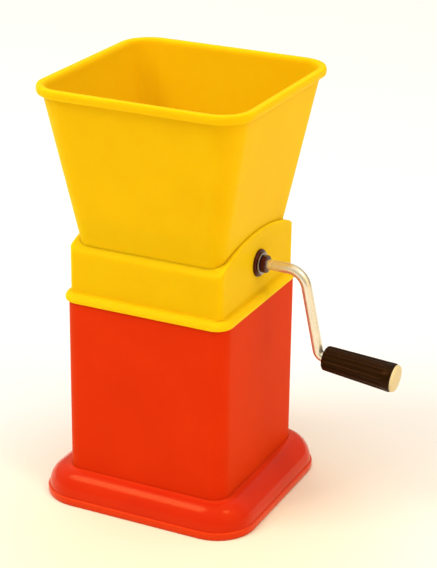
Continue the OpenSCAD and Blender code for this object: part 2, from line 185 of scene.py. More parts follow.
def blend(tree, share, first, second):
    """A colour between two others, each one a hex code or a link."""
    ends = [from_hex(c) if isinstance(c, str) else c for c in (first, second)]
    return add(tree, "ShaderNodeMix", {"Factor": share, "A": ends[0], "B": ends[1]},
               data_type="RGBA").outputs["Result"]


def ranged(tree, value, low, high, start=0.0, end=1.0, curve="LINEAR"):
    """A value between start and end, taken to the range from low to high."""
    return add(tree, "ShaderNodeMapRange", {
        "Value": value, "From Min": start, "From Max": end, "To Min": low, "To Max": high},
        interpolation_type=curve).outputs["Result"]


def relief(tree, height, strength, depth, under=None):
    """A bump of that depth, on top of the one under it if there is one."""
    sockets = {"Height": height, "Strength": strength, "Distance": depth}
    if under is not None:
        sockets["Normal"] = under
    return add(tree, "ShaderNodeBump", sockets).outputs["Normal"]


def coat(tree, shader, **links):
    """Links what varies over a piece into its shader."""
    for socket, value in links.items():
        tree.links.new(value, shader.inputs[socket.replace("_", " ")])


def moulded_polypropylene(name, colour, deep, rubbed, gloss, glint, depth, polish=0.015,
                          grain_depth=0.02 * mm):
    """Satin injection-moulded polypropylene.
    The eye sees an even pigment with a faint cloud where the melt flowed, a fine spark-eroded grain from the
    mould, slow waves where thin walls sank in cooling, and a painted highlight: edges coloured paler where
    light would catch them."""
    finish, tree, shader = finish_of(
        name, IOR=1.49, Specular_IOR_Level=polish, Specular_Tint=from_hex(glint), Sheen_Weight=0.2,
        Sheen_Roughness=0.45, Sheen_Tint=from_hex(glint), Subsurface_Weight=depth,
        Subsurface_Scale=5 * mm, Subsurface_Radius=(0.8, 1.0, 0.2))
    place = own_space(tree)
    flow = speckle(tree, place, 34 * mm, 2.0)
    grain = speckle(tree, place, 1.1 * mm, 2.0)
    pigment = blend(tree, ranged(tree, flow, 0.0, 1.0, 0.35, 0.7), colour, deep)
    # Painted highlight: each ring's highlight share, broken up by the grain, blends the colour towards a
    # paler one.
    edge = add(tree, "ShaderNodeAttribute", attribute_name="rubbed").outputs["Fac"]
    painted_highlight = reckon(tree, "MULTIPLY", edge, ranged(tree, grain, 0.6, 1.0, 0.3, 0.7))
    fine = relief(tree, grain, 0.25, grain_depth)
    coat(tree, shader, Base_Color=blend(tree, painted_highlight, pigment, rubbed),
         Roughness=ranged(tree, grain, gloss * 0.88, gloss * 1.14, 0.3, 0.7),
         Normal=relief(tree, flow, 0.5, 0.12 * mm, fine))
    return finish


red_polypropylene = moulded_polypropylene(
    "red_polypropylene", "d22f0b", "cd2c0a", "de4016", 0.42, "ffb030", 0.0)


def place_piece(piece, body, replaced=(), material=None):
    """Gives a piece its finish, its body and the solids it stands for."""
    if material is not None:
        piece.data.materials.clear()
        piece.data.materials.append(material)
    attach(piece, body)
    if replaced:
        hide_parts(*replaced)
    return piece


def bin_ring(inset, z, rub=0.0):
    """Level of the bin's wall, in from its outer face."""
    return ring(bin_half - inset, bin_half - inset, bin_corner - inset, z, rub)


bin_shell = skin("bin_shell", [
    bin_ring(1.2 * mm, 0), bin_ring(0.35 * mm, 0.35 * mm), bin_ring(0, 1.2 * mm), bin_ring(0, 20 * mm),
    bin_ring(0, 60 * mm), bin_ring(0, bin_top - 0.9 * mm), bin_ring(0.1 * mm, bin_top - 0.4 * mm, 0.5),
    bin_ring(0.5 * mm, bin_top, 1), bin_ring(bin_wall - 0.5 * mm, bin_top, 1),
    bin_ring(bin_wall - 0.1 * mm, bin_top - 0.4 * mm, 0.5), bin_ring(bin_wall, bin_top - 0.9 * mm),
    bin_ring(bin_wall, 60 * mm), bin_ring(bin_wall, bin_floor + 2.5 * mm),
    bin_ring(bin_wall + 0.4 * mm, bin_floor + 1 * mm), bin_ring(bin_wall + 1.6 * mm, bin_floor)])
even_shading(bin_shell)
place_piece(bin_shell, "bin", ["container"], red_polypropylene)


# ------------------------------------------------------------------ base
# A broad hollow foot that steadies the tall bin: a thin upright lip on the table, then a bulge
# that closes in on the bin. It is moulded in the same red and open underneath.

foot_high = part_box("base_stand")[1]
foot_x, foot_y, foot_top = foot_high.x, foot_high.y, foot_high.z
foot_corner = 22.5 * mm
foot_lip = 4.3 * mm
foot_step = 1 * mm
foot_wall = 2.4 * mm
foot_land = 0.6 * mm
socket_gap = 0.03 * mm
bulge_outside = (0, 4, 10, 18, 26, 34, 42, 50, 58, 66, 74, 82, 87, 90)
bulge_inside = (72, 60, 45, 30, 15, 0)


def foot_ring(inset, z, rub=0.0):
    """Level of the base, in from its broadest outline."""
    return ring(foot_x - inset, foot_y - inset, foot_corner - inset, z, rub)


def socket_ring(out, z, rub=0.0):
    """Level of the base's socket, out from the bin."""
    return ring(bin_half + out, bin_half + out, bin_corner + out, z, rub)


def bulge_ring(inset, degrees, rub=0.0):
    """Level of the bulge, a quarter of an ellipse from the lip up to the bin."""
    across, up = math.cos(math.radians(degrees)), math.sin(math.radians(degrees))
    land = bin_half + foot_land
    return ring(land + (foot_x - foot_step - land - inset) * across,
                land + (foot_y - foot_step - land - inset) * across,
                bin_corner + (foot_corner - foot_step - inset - bin_corner) * across,
                foot_lip + (foot_top - foot_lip - inset) * up, rub)


base = skin("base", [
    foot_ring(1.2 * mm, 0), foot_ring(0.35 * mm, 0.25 * mm), foot_ring(0, 1 * mm, 0.5),
    foot_ring(0, foot_lip - 0.9 * mm, 0.6), foot_ring(0.25 * mm, foot_lip - 0.25 * mm, 1),
    foot_ring(0.75 * mm, foot_lip, 0.6)]
    + [bulge_ring(0, a, 0.35 if a > 80 else 0) for a in bulge_outside]
    + [socket_ring(foot_land / 2, foot_top + 0.02 * mm, 0.5),
       socket_ring(socket_gap, foot_top - 0.3 * mm), socket_ring(socket_gap, 0.3 * mm),
       socket_ring(0.3 * mm, 0), socket_ring(foot_wall - 0.3 * mm, 0),
       socket_ring(foot_wall, 0.3 * mm), socket_ring(foot_wall, foot_top - 3 * mm)]
    + [bulge_ring(foot_wall, a) for a in bulge_inside]
    + [foot_ring(foot_step + foot_wall, 0.3 * mm), foot_ring(foot_step + foot_wall - 0.3 * mm, 0)],
    looped=True)
even_shading(base)
# The base's mould is polished, so soft lights above draw long clear highlights along the bulge.
polished_red = moulded_polypropylene(
    "polished_red_polypropylene", "cb270a", "c6240a", "de4016", 0.15, "ffc070", 0.0,
    polish=0.2, grain_depth=0.001 * mm)
place_piece(base, "bin", ["base_stand"], polished_red)


# ------------------------------------------------------------------ drum housing
# The yellow body round the drum, moulded in one piece: a vaulted box with a rolled lip that
# rests on the bin, a spigot inside the bin's mouth, and a bore for a bush in each end wall.

yellow_polypropylene = moulded_polypropylene(
    "yellow_polypropylene", "e2b60a", "dfb208", "e8be12", 0.40, "ffd840", 0.8)

shaft_z = frame["record"]["behaviour"]["joints"][1]["pos_m"][2]
housing_low, housing_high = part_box("drum_housing")
spigot_foot = housing_low.z
crown = housing_high.z
lip_half = housing_high.x
face = 43.8 * mm
face_corner = 2.5 * mm
end_round = 1.1 * mm
vault_radius = 110 * mm
shoulder = 6 * mm
mouth = 41.4 * mm
mouth_corner = 7.1 * mm
neck = 147.1 * mm
flare = 15 / 78.3
spigot = 43.9 * mm
spigot_corner = 6.4 * mm
bush_bore = 5.53 * mm
past_walls = 60 * mm


def vault_height(x, y):
    """Height of the vaulted top, with round shoulders front and back and rounded end edges."""
    middle, centre = crown - vault_radius, face - shoulder
    reach = vault_radius - shoulder
    shoulder_z = middle + math.sqrt(reach ** 2 - centre ** 2)
    if abs(y) > vault_radius * centre / reach:
        z = shoulder_z + math.sqrt(max(0, shoulder ** 2 - (abs(y) - centre) ** 2))
    else:
        z = middle + math.sqrt(vault_radius ** 2 - y ** 2)
    near_end = min(end_round, max(0, end_round - (face - abs(x))))
    return z - end_round + math.sqrt(end_round ** 2 - near_end ** 2)


def housing_ring(half, corner, z, rub=0.0):
    """Level of the housing, with points enough along its sides for the vault."""
    return ring(half, half, corner, z, rub, sides=26)


def lip_ring(offset, share, rub=0.0):
    """Level of the rolled lip, out from its edge and up a share of its height."""
    return housing_ring(lip_half + offset, bin_corner + offset * 0.6, bin_top + share * 5 * mm, rub)


def topped(outline, rub, sink=0.0):
    """The outline lifted on to the vault."""
    return [Vector((p.x, p.y, vault_height(p.x, p.y) - sink)) for p in outline], rub


outer = housing_ring(face, face_corner, 0)[0]
opening = housing_ring(mouth, mouth_corner, 0)[0]
# The opening follows the hopper's flare, so where the vault is higher it is wider. Four rounds settle it.
for _ in range(4):
    wider = [flare * max(0, vault_height(p.x, p.y) - neck) for p in opening]
    opening = [housing_ring(mouth + more, mouth_corner, 0)[0][i] for i, more in enumerate(wider)]
# The shoulder round the hopper carries a painted highlight, strongest a little way up its round.
shoulder_rings = [topped([a.lerp(b, t) for a, b in zip(outer, opening)], rub)
                  for t, rub in ((0, 0.2), (0.015, 0.3), (0.05, 0.6), (0.11, 0.9), (0.2, 1), (0.32, 0.9),
                                 (0.46, 0.6), (0.62, 0.4), (0.8, 0.3), (0.94, 0.3), (1, 0.3))]
housing = skin("housing", [
    housing_ring(mouth + 0.5 * mm, mouth_corner, spigot_foot),
    housing_ring(spigot - 0.6 * mm, spigot_corner - 0.4 * mm, spigot_foot),
    housing_ring(spigot, spigot_corner, spigot_foot + 0.6 * mm),
    housing_ring(spigot, spigot_corner, bin_top - 0.2 * mm),
    lip_ring(-1.6 * mm, 0), lip_ring(-0.75 * mm, 0.02), lip_ring(-0.2 * mm, 0.1, 0.5), lip_ring(0, 0.24, 0.8),
    lip_ring(0, 0.4, 0.8), lip_ring(-0.2 * mm, 0.55, 1), lip_ring(-0.7 * mm, 0.74, 1),
    lip_ring(-1.4 * mm, 0.88, 0.8), lip_ring(-2.2 * mm, 0.97, 0.4), lip_ring(-2.9 * mm, 1.02),
    housing_ring(face + 0.55 * mm, face_corner + 1.3 * mm, bin_top + 5.35 * mm),
    housing_ring(face + 0.12 * mm, face_corner + 0.3 * mm, bin_top + 5.9 * mm),
    housing_ring(face, face_corner, bin_top + 6.7 * mm), topped(outer, 0.1, 0.4 * mm)]
    + shoulder_rings
    + [topped(opening, 0, 0.4 * mm), housing_ring(mouth, mouth_corner, bin_top + 20 * mm),
       housing_ring(mouth, mouth_corner, spigot_foot + 0.5 * mm)], looped=True)


def grown_mesh(piece):
    """The mesh of a piece with its modifiers worked in."""
    graph = bpy.context.evaluated_depsgraph_get()
    return bpy.data.meshes.new_from_object(piece.evaluated_get(graph), preserve_all_data_layers=True,
                                           depsgraph=graph)


def bored(piece, radius):
    """Bores a piece right through along the shaft."""
    build = bmesh.new()
    bmesh.ops.create_cone(
        build, cap_ends=True, segments=56, radius1=radius, radius2=radius, depth=2 * past_walls,
        matrix=Matrix.Translation((0, 0, shaft_z)) @ Matrix.Rotation(math.pi / 2, 4, "Y"))
    drill = settle("drill", build)
    cut = piece.modifiers.new("bore", "BOOLEAN")
    cut.operation, cut.solver, cut.object = "DIFFERENCE", "EXACT", drill
    mesh = grown_mesh(piece)
    piece.modifiers.remove(cut)
    piece.data = mesh
    bpy.data.objects.remove(drill)
    mesh.set_sharp_from_angle(angle=math.radians(38))


bored(housing, bush_bore)
even_shading(housing)
place_piece(housing, "head", ["drum_housing"], yellow_polypropylene)


# ------------------------------------------------------------------ hopper
# The flared square mouth, moulded in the same yellow with a rolled rim. Its straight foot stands
# on lugs in the housing, and is cut away over the shaft so that it clears the bushes' nuts.

hopper_low, hopper_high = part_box("hopper")
seat, rim_top, rim_half = hopper_low.z, hopper_high.z, hopper_high.x
rim_corner = 18 * mm
neck_half = 41.3 * mm
neck_corner = 7 * mm
rim_height = 4.6 * mm
rim_over = 3.2 * mm
hopper_wall = 2.2 * mm
foot_wall_inset = hopper_wall + 1 * mm
nut_clearance = 11 * mm
under_rim = rim_top - rim_height
ledge = 145.9 * mm


def wall_ring(z, inset, rub=0.0):
    """Level of the flared wall: its width and its corners both grow with height."""
    share = max(0, z - neck) / (under_rim - neck)
    half = neck_half + (rim_half - rim_over - neck_half) * share
    corner = neck_corner + (rim_corner - rim_over - neck_corner) * share
    return ring(half - inset, half - inset, corner - inset, z, rub, sides=20, arc=12)


def rim_ring(inset, z, rub=0.0):
    """Level of the hopper's rim, in from its edge."""
    return ring(rim_half - inset, rim_half - inset, rim_corner - inset, z, rub, sides=20, arc=12)


bead = [math.radians(a) for a in (-86, -68, -50, -30, -10, 10, 30, 50, 68, 84)]
bead_depth = 0.85 * mm
bead_half = rim_height / 2
hopper_body = skin("hopper_body", [
    wall_ring(seat, 0.4 * mm), wall_ring(seat + 0.4 * mm, 0), wall_ring(neck, 0)]
    + [wall_ring(neck + (under_rim - neck) * t, 0) for t in (0.02, 0.2, 0.4, 0.6, 0.8, 0.96)]
    + [wall_ring(under_rim - 0.3 * mm, 0), wall_ring(under_rim - 0.05 * mm, -0.3 * mm),
       rim_ring(2.3 * mm, under_rim + 0.02 * mm)]
    + [rim_ring(bead_depth * (1 - math.cos(a)), rim_top - bead_half + bead_half * math.sin(a),
                0.4 if a > 0.1 else 0.1) for a in bead]
    + [rim_ring(2.4 * mm, rim_top, 0.4), rim_ring(2.9 * mm, rim_top - 0.04 * mm, 0.4),
       rim_ring(3.5 * mm, rim_top - 0.25 * mm, 0.3), rim_ring(4.1 * mm, rim_top - 0.75 * mm, 0.2),
       wall_ring(rim_top - 1.7 * mm, hopper_wall - 0.1 * mm), wall_ring(rim_top - 3 * mm, hopper_wall)]
    + [wall_ring(neck + (under_rim - neck) * t, hopper_wall) for t in (0.8, 0.6, 0.4, 0.2, 0.02)]
    + [wall_ring(neck, hopper_wall), wall_ring(ledge, hopper_wall), wall_ring(ledge, hopper_wall + 0.9 * mm),
       wall_ring(ledge - 0.3 * mm, foot_wall_inset), wall_ring(seat, foot_wall_inset)], looped=True)
bored(hopper_body, nut_clearance)
even_shading(hopper_body)
place_piece(hopper_body, "head", ["hopper"], yellow_polypropylene)


# ------------------------------------------------------------------ throat insert
# A loose tray of undyed polypropylene in the hopper's foot. Its four sloping faces steer the food
# on to the drum and hide the housing's corners.

undyed_polypropylene = moulded_polypropylene(
    "undyed_polypropylene", "ece2c8", "e4d8bb", "f4ecd8", 0.5, "ffffff", 0.0)


def finish_node(node, material):
    """A solid whose shape is right as it is gets its real finish."""
    mesh = frame["nodes"][node].data
    mesh.materials.clear()
    mesh.materials.append(material)


finish_node("throat_funnel", undyed_polypropylene)


# ------------------------------------------------------------------ hopper screws
# Four zinc-plated self-tapping screws with hexagon sockets, driven up through the housing's lugs
# into the hopper's corner bosses. One is turned as a shape, and a node tree sets all four.

screw_low, screw_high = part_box("hopper_screws")
head_radius = 2.8 * mm
screw_radius = 1.5 * mm
screw_length = screw_high.z - screw_low.z
screw_spacing = 2 * (screw_high.x - head_radius)


def speckled(name, colours, size, detail, dull=None, bump=None, **constants):
    """A finish whose grains vary its colour, and its shine and relief where these are given."""
    finish, tree, shader = finish_of(name, **constants)
    grains = speckle(tree, own_space(tree), size, detail)
    coat(tree, shader, Base_Color=blend(tree, grains, *colours))
    if dull is not None:
        coat(tree, shader, Roughness=ranged(tree, grains, *dull))
    if bump is not None:
        coat(tree, shader, Normal=relief(tree, grains, *bump))
    return finish


# Barrel-plated zinc: cool grey with slightly bluer and duller patches the size of a grain of rice.
zinc = speckled("bright_zinc_plate", ("b9bcc0", "8e9196"), 2.5 * mm, 3.0, dull=(0.24, 0.48), Metallic=1.0)


def standing(foot, direction):
    """Takes something drawn up from the origin to a foot and a direction."""
    aim = Vector((0, 0, 1)).rotation_difference(Vector(direction))
    return Matrix.Translation(foot) @ aim.to_matrix().to_4x4()


def turned(name, profile, foot, direction, around=64, sharp=30):
    """A round shape: a closed profile of (distance along, radius), swept about a line from foot."""
    aim = standing(foot, direction)
    angles = [2 * math.pi * i / around for i in range(around)]
    build = bmesh.new()
    rows = []
    for along, radius in profile:
        rows.append([build.verts.new(aim @ Vector((radius * math.cos(a), radius * math.sin(a), along)))
                     for a in (angles if radius > 0 else angles[:1])])
    for k in range(len(rows)):
        here, there = rows[k], rows[(k + 1) % len(rows)]
        if len(here) == 1 and len(there) == 1:
            continue
        for i in range(around):
            j = (i + 1) % around
            corners = [here[i % len(here)], here[j % len(here)], there[j % len(there)], there[i % len(there)]]
            build.faces.new(list(dict.fromkeys(corners)))
    return settle(name, build, sharp)


def growing_tree(name, sockets):
    """An empty node tree with named inputs, ready to grow one kind of piece."""
    tree = bpy.data.node_groups.new(name, "GeometryNodeTree")
    tree.interface.new_socket("Geometry", in_out="INPUT", socket_type="NodeSocketGeometry")
    tree.interface.new_socket("Geometry", in_out="OUTPUT", socket_type="NodeSocketGeometry")
    for socket, kind in sockets.items():
        tree.interface.new_socket(socket, in_out="INPUT", socket_type="NodeSocket" + kind)
    return tree, add(tree, "NodeGroupInput").outputs


def wrap_up(tree, geometry, finish):
    """Ends a tree: real geometry, smooth, in its finish."""
    real = add(tree, "GeometryNodeRealizeInstances", {"Geometry": geometry})
    smooth = add(tree, "GeometryNodeSetShadeSmooth", {"Geometry": real.outputs["Geometry"]})
    dressed = add(tree, "GeometryNodeSetMaterial", {"Geometry": smooth.outputs["Geometry"],
                                                    "Material": finish})
    add(tree, "NodeGroupOutput", {"Geometry": dressed.outputs["Geometry"]})


def grown(name, tree, start, values, sharp=30):
    """The plain mesh that a tree grows from a starting piece, once its named inputs are set."""
    grower = start.modifiers.new("grow", "NODES")
    grower.node_group = tree
    for item in tree.interface.items_tree:
        if item.in_out == "INPUT" and item.name in values:
            grower[item.identifier] = values[item.name]
    mesh = grown_mesh(start)
    bpy.data.objects.remove(start)
    mesh.name = name
    mesh.set_sharp_from_angle(angle=math.radians(sharp))
    return put_in_scene(name, mesh)


one_screw = turned("one_screw", [
    (0, screw_radius), (0, 2.2 * mm), (0.15 * mm, 2.6 * mm), (0.6 * mm, head_radius), (1.9 * mm, head_radius),
    (2 * mm, 2.7 * mm), (2 * mm, screw_radius)] + [
    (2 * mm + t * 0.5 * mm, screw_radius - (0.18 * mm if t % 2 else 0)) for t in range(1, 15)] + [
    (screw_length, 0.6 * mm), (screw_length, 0), (1.9 * mm, 0), (1.9 * mm, 1.2 * mm)],
    (0, 0, 0), (0, 0, 1), around=24)
screw_tree, given = growing_tree("set_of_screws", {
    "Spacing": "Float", "Height": "Float", "Finish": "Material"})
corners = add(screw_tree, "GeometryNodeMeshGrid", {"Size X": given["Spacing"], "Size Y": given["Spacing"],
                                                   "Vertices X": 2, "Vertices Y": 2})
lifted = add(screw_tree, "GeometryNodeSetPosition", {
    "Geometry": corners.outputs["Mesh"],
    "Offset": add(screw_tree, "ShaderNodeCombineXYZ", {"Z": given["Height"]}).outputs["Vector"]})
driven = add(screw_tree, "GeometryNodeInstanceOnPoints", {"Points": lifted.outputs["Geometry"],
                                                          "Instance": given["Geometry"]})
wrap_up(screw_tree, driven.outputs["Instances"], given["Finish"])
screws = grown("screws", screw_tree, one_screw,
               {"Spacing": screw_spacing, "Height": screw_low.z, "Finish": zinc})
place_piece(screws, "head", ["hopper_screws"])


# ------------------------------------------------------------------ bushes and locknuts
# Flanged bearing bushes of dark maroon plastic, pushed into the end walls from outside and held
# by a hexagon nut inside. The flange is what shows round the shaft.

bush_inside = 2.81 * mm
bush_barrel = 5.5 * mm
# Moulded acetal: nearly black red with a soft shine and a fine uneven grain.
maroon = speckled("maroon_acetal", ("45120a", "2a0906"), 0.9 * mm, 2.0, bump=(0.3, 0.03 * mm), IOR=1.48,
                  Specular_IOR_Level=0.35, Roughness=0.35, Specular_Tint=from_hex("ffb0a0"))

for name, node, side in (("bush_near", "drive_bush", 1), ("bush_far", "far_bush", -1)):
    low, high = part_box(node)
    inner_end, outer_end = sorted((abs(low.x), abs(high.x)))
    flange = (high.z - low.z) / 2
    bush = turned(name, [
        (inner_end, bush_inside), (inner_end, bush_barrel - 0.3 * mm), (inner_end + 0.3 * mm, bush_barrel),
        (face, bush_barrel),
        (face, flange - 0.1 * mm), (face + 0.15 * mm, flange), (outer_end - 0.7 * mm, flange),
        (outer_end - 0.35 * mm, flange - 0.1 * mm), (outer_end - 0.1 * mm, flange - 0.35 * mm),
        (outer_end, flange - 0.75 * mm), (outer_end, 5.9 * mm), (outer_end - 0.25 * mm, 5.6 * mm),
        (outer_end - 0.25 * mm, 3.2 * mm), (outer_end - 0.4 * mm, bush_inside)],
        (0, 0, shaft_z), (side, 0, 0))
    place_piece(bush, "head", [node], maroon)
finish_node("bush_locknuts", maroon)


# ------------------------------------------------------------------ crank rod
# One length of bright-plated steel rod, cold bent: it is the drum's shaft, then the crank arm, and
# its last stretch is the spindle of the grip. A node tree sweeps the round rod along its path.

# Drawn and nickel plated: warm bright metal with faint lines along it, drawn about 0.4 mm apart so
# that they show, and slightly duller smudges from handling.
plated, plated_tree, plated_shader = finish_of("bright_plated_steel", Metallic=0.72)
lines_along, lines_around = 60, 44
place_along = add(plated_tree, "ShaderNodeAttribute", attribute_name="along").outputs["Fac"]
place_around = add(plated_tree, "ShaderNodeAttribute", attribute_name="around").outputs["Fac"]
on_rod = add(plated_tree, "ShaderNodeCombineXYZ", {"X": place_along, "Y": place_around}).outputs["Vector"]
stretched = add(plated_tree, "ShaderNodeMapping", {"Vector": on_rod,
                                                   "Scale": (lines_along, lines_around, 1)})
drawn = speckle(plated_tree, stretched.outputs["Vector"], 1.0, 3.0)
smudge = speckle(plated_tree, own_space(plated_tree), 9 * mm, 3.0)
coat(plated_tree, plated_shader, Base_Color=blend(plated_tree, drawn, "f2ead6", "cfc3a6"),
     Roughness=ranged(plated_tree, smudge, 0.16, 0.34, 0.3, 0.75),
     Normal=relief(plated_tree, drawn, 0.3, 0.02 * mm))

rod_low, rod_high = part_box("crank_rod")
rod_radius = rod_high.y
grip_joint = frame["record"]["behaviour"]["joints"][2]
lower_corner = Vector(grip_joint["pos_m"])
grip_line = Vector(grip_joint["axis"]).normalized()
arm_lean = math.radians(12.4)
upper_bend, lower_bend = 11 * mm, 4.2 * mm
end_chamfer, end_share = 0.5 * mm, 0.82
upper_corner = Vector((lower_corner.x - (shaft_z - lower_corner.z) * math.tan(arm_lean), 0, shaft_z))
spindle = ((rod_high.x - lower_corner.x) + rod_radius * grip_line.z) / grip_line.x


def bent(corner, into, out, radius, steps):
    """Points round a bend that leaves the line into a corner and joins the line out of it."""
    turn = into.angle(out)
    run = radius * math.tan(turn / 2)
    start = corner - into * run
    inward = (out - into * out.dot(into)).normalized()
    centre = start + inward * radius
    return [centre - inward * radius * math.cos(turn * i / steps) + into * radius * math.sin(turn * i / steps)
            for i in range(steps + 1)]


shaft_line = Vector((1, 0, 0))
arm_line = (lower_corner - upper_corner).normalized()
shaft_start = Vector((rod_low.x, 0, shaft_z))
spindle_tip = lower_corner + grip_line * spindle
path = [(shaft_start, end_share), (shaft_start + shaft_line * end_chamfer, 1)]
path += [(shaft_start.lerp(upper_corner, t), 1) for t in (0.2, 0.4, 0.6, 0.75)]
path += [(p, 1) for p in bent(upper_corner, shaft_line, arm_line, upper_bend, 18)]
path += [(upper_corner.lerp(lower_corner, t), 1) for t in (0.4, 0.6, 0.75)]
path += [(p, 1) for p in bent(lower_corner, arm_line, grip_line, lower_bend, 14)]
path += [(spindle_tip - grip_line * end_chamfer, 1), (spindle_tip, end_share)]

build = bmesh.new()
thickness = build.verts.layers.float.new("thickness")
stations = []
for point, share in path:
    stations.append(build.verts.new(point))
    stations[-1][thickness] = share
for first, second in zip(stations, stations[1:]):
    build.edges.new((first, second))
rod_line = as_drawn("rod_line", build)

rod_tree, given = growing_tree("swept_rod", {"Radius": "Float", "Sides": "Int", "Finish": "Material"})
line = add(rod_tree, "GeometryNodeMeshToCurve", {"Mesh": given["Geometry"]})
factor = add(rod_tree, "GeometryNodeSplineParameter").outputs["Factor"]
measured = add(rod_tree, "GeometryNodeStoreNamedAttribute", {
    "Geometry": line.outputs["Curve"], "Name": "along", "Value": factor}, data_type="FLOAT", domain="POINT")
outline = add(rod_tree, "GeometryNodeCurvePrimitiveCircle", {"Resolution": given["Sides"],
                                                             "Radius": given["Radius"]})
clocked = add(rod_tree, "GeometryNodeStoreNamedAttribute", {
    "Geometry": outline.outputs["Curve"], "Name": "around", "Value": factor},
    data_type="FLOAT", domain="POINT")
share_of = add(rod_tree, "GeometryNodeInputNamedAttribute", {"Name": "thickness"}, data_type="FLOAT")
swept = add(rod_tree, "GeometryNodeCurveToMesh", {
    "Curve": measured.outputs["Geometry"], "Profile Curve": clocked.outputs["Geometry"],
    "Scale": share_of.outputs["Attribute"], "Fill Caps": True})
wrap_up(rod_tree, swept.outputs["Mesh"], given["Finish"])
rod = grown("rod", rod_tree, rod_line, {"Radius": rod_radius, "Sides": 36, "Finish": plated})
place_piece(rod, "rotor", ["crank_rod"])


# ------------------------------------------------------------------ washers, nut and collar
# Stamped washers run between each bush and what holds the shaft: a plated nut on the far side,
# and on the crank side a dark collar locked by a grub screw.

shaft_hole = 2.78 * mm
# Tumbled after stamping: pale metal, a little duller than the rod, with fine random scratches.
plated_washer = speckled("stamped_plated_steel", ("a8a0a4", "6a6068"), 0.8 * mm, 4.0,
                         bump=(0.2, 0.03 * mm), Metallic=1.0, Roughness=0.3)


def stamped_washer(name, node, side):
    """A washer with one edge rounded by the punch, on either side of the housing."""
    low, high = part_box(node)
    start, end = sorted((abs(low.x), abs(high.x)))
    edge = (high.z - low.z) / 2
    washer = turned(name, [
        (start, shaft_hole), (start, edge - 0.1 * mm), (start + 0.12 * mm, edge), (end - 0.22 * mm, edge),
        (end - 0.06 * mm, edge - 0.08 * mm), (end, edge - 0.25 * mm), (end, 2.9 * mm),
        (end - 0.1 * mm, shaft_hole)], (0, 0, shaft_z), (side, 0, 0))
    place_piece(washer, "rotor", [node], plated_washer)


stamped_washer("washer_near", "drive_washer", 1)
stamped_washer("washer_far", "far_washer", -1)
finish_node("thrust_washers", plated_washer)

collar_low, collar_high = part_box("shaft_collar")
collar_edge = collar_high.y
collar = turned("collar", [
    (collar_low.x, shaft_hole), (collar_low.x, collar_edge - 0.3 * mm),
    (collar_low.x + 0.3 * mm, collar_edge),
    (collar_high.x - 0.45 * mm, collar_edge), (collar_high.x - 0.12 * mm, collar_edge - 0.14 * mm),
    (collar_high.x, collar_edge - 0.5 * mm), (collar_high.x, 3.1 * mm),
    (collar_high.x - 0.3 * mm, shaft_hole)],
    (0, 0, shaft_z), (1, 0, 0))
place_piece(collar, "rotor", ["shaft_collar"], maroon)
finish_node("collar_grub_screw", zinc)

nut_low, nut_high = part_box("far_nut")
nut_corner = max(nut_high.y, nut_high.z - shaft_z)
nut_points = 48
nut_edge, bore_edge = 0.35 * mm, 0.3 * mm
build = bmesh.new()
nut_rows = []
for x, size, bore in ((nut_high.x, 0.93, False), (nut_high.x - nut_edge, 1, False),
                      (nut_low.x + nut_edge, 1, False), (nut_low.x, 0.93, False), (nut_low.x, 0.6, True),
                      (nut_low.x + bore_edge, 0.556, True), (nut_high.x - bore_edge, 0.556, True),
                      (nut_high.x, 0.6, True)):
    row = []
    for i in range(nut_points):
        a = 2 * math.pi * i / nut_points
        flat = math.cos(math.pi / 6) / math.cos((a % (math.pi / 3)) - math.pi / 6)
        reach = nut_corner * (size if bore else min(flat, size))
        row.append(build.verts.new((x, reach * math.sin(a), shaft_z + reach * math.cos(a))))
    nut_rows.append(row)
join_rows(build, nut_rows, looped=True)
nut = settle("nut", build, 25)
place_piece(nut, "rotor", ["far_nut"], zinc)


# ------------------------------------------------------------------ grating drum
# A rolled tube of thin stainless sheet. Each hole is punched outwards, so that a torn burr with
# four points stands round it and does the grating. A node tree repeats one punched cell.

drum_low, drum_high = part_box("grating_drum")
drum_half = drum_high.x
burr_tip = (drum_high.z - drum_low.z) / 2
drum_radius = 25 * mm
sheet = 0.7 * mm
burr = burr_tip - drum_radius
hole_radius = 1.7 * mm
holes_around, hole_rows = 14, 7
plain_band = 5 * mm
pitch_along = 2 * (drum_half - plain_band) / hole_rows
pitch_around = 2 * math.pi * drum_radius / holes_around

# Rolled sheet: cool bright steel with fine rolling lines round the drum, drawn about 0.5 mm apart.
stainless, stainless_tree, stainless_shader = finish_of("rolled_stainless_sheet", Metallic=1.0)
line_gap, line_run = 0.5 * mm, 12 * mm
rolled_at = add(stainless_tree, "ShaderNodeMapping", {
    "Vector": own_space(stainless_tree), "Scale": (1 / line_gap, 1 / line_run, 1 / line_run)})
rolled = speckle(stainless_tree, rolled_at.outputs["Vector"], 1.0, 3.0)
coat(stainless_tree, stainless_shader, Base_Color=blend(stainless_tree, rolled, "dfe0e0", "adafb0"),
     Roughness=ranged(stainless_tree, rolled, 0.2, 0.42),
     Normal=relief(stainless_tree, rolled, 0.25, 0.02 * mm))

# One cell: its border, then rings round the hole that rise to the burr and drop through the sheet.
# Each gives its distance from the hole's middle, its height, and how deep the burr is torn.
build = bmesh.new()
border = [(-0.5, -0.5), (-0.25, -0.5), (0, -0.5), (0.25, -0.5), (0.5, -0.5), (0.5, -0.25), (0.5, 0),
          (0.5, 0.25), (0.5, 0.5), (0.25, 0.5), (0, 0.5), (-0.25, 0.5), (-0.5, 0.5), (-0.5, 0.25),
          (-0.5, 0), (-0.5, -0.25)]
cell_rows = []
for reach, lift, torn in ((None, 0, 0), (hole_radius + 0.9 * mm, 0, 0),
                          (hole_radius + 0.5 * mm, 0.35 * burr, 0),
                          (hole_radius + 0.2 * mm, burr, 0.4), (hole_radius, burr, 0.4),
                          (hole_radius, -sheet, 0), (None, -sheet, 0)):
    row = []
    for i, (u, v) in enumerate(border):
        aim = math.atan2(v, u)
        x, y = u * pitch_along, v * pitch_around
        if reach is not None:
            x, y = reach * math.cos(aim), reach * math.sin(aim)
        row.append(build.verts.new((x, y, lift * (1 - torn * (i % 4 in (1, 3)) - torn / 2 * (i % 4 == 0)))))
    cell_rows.append(row)
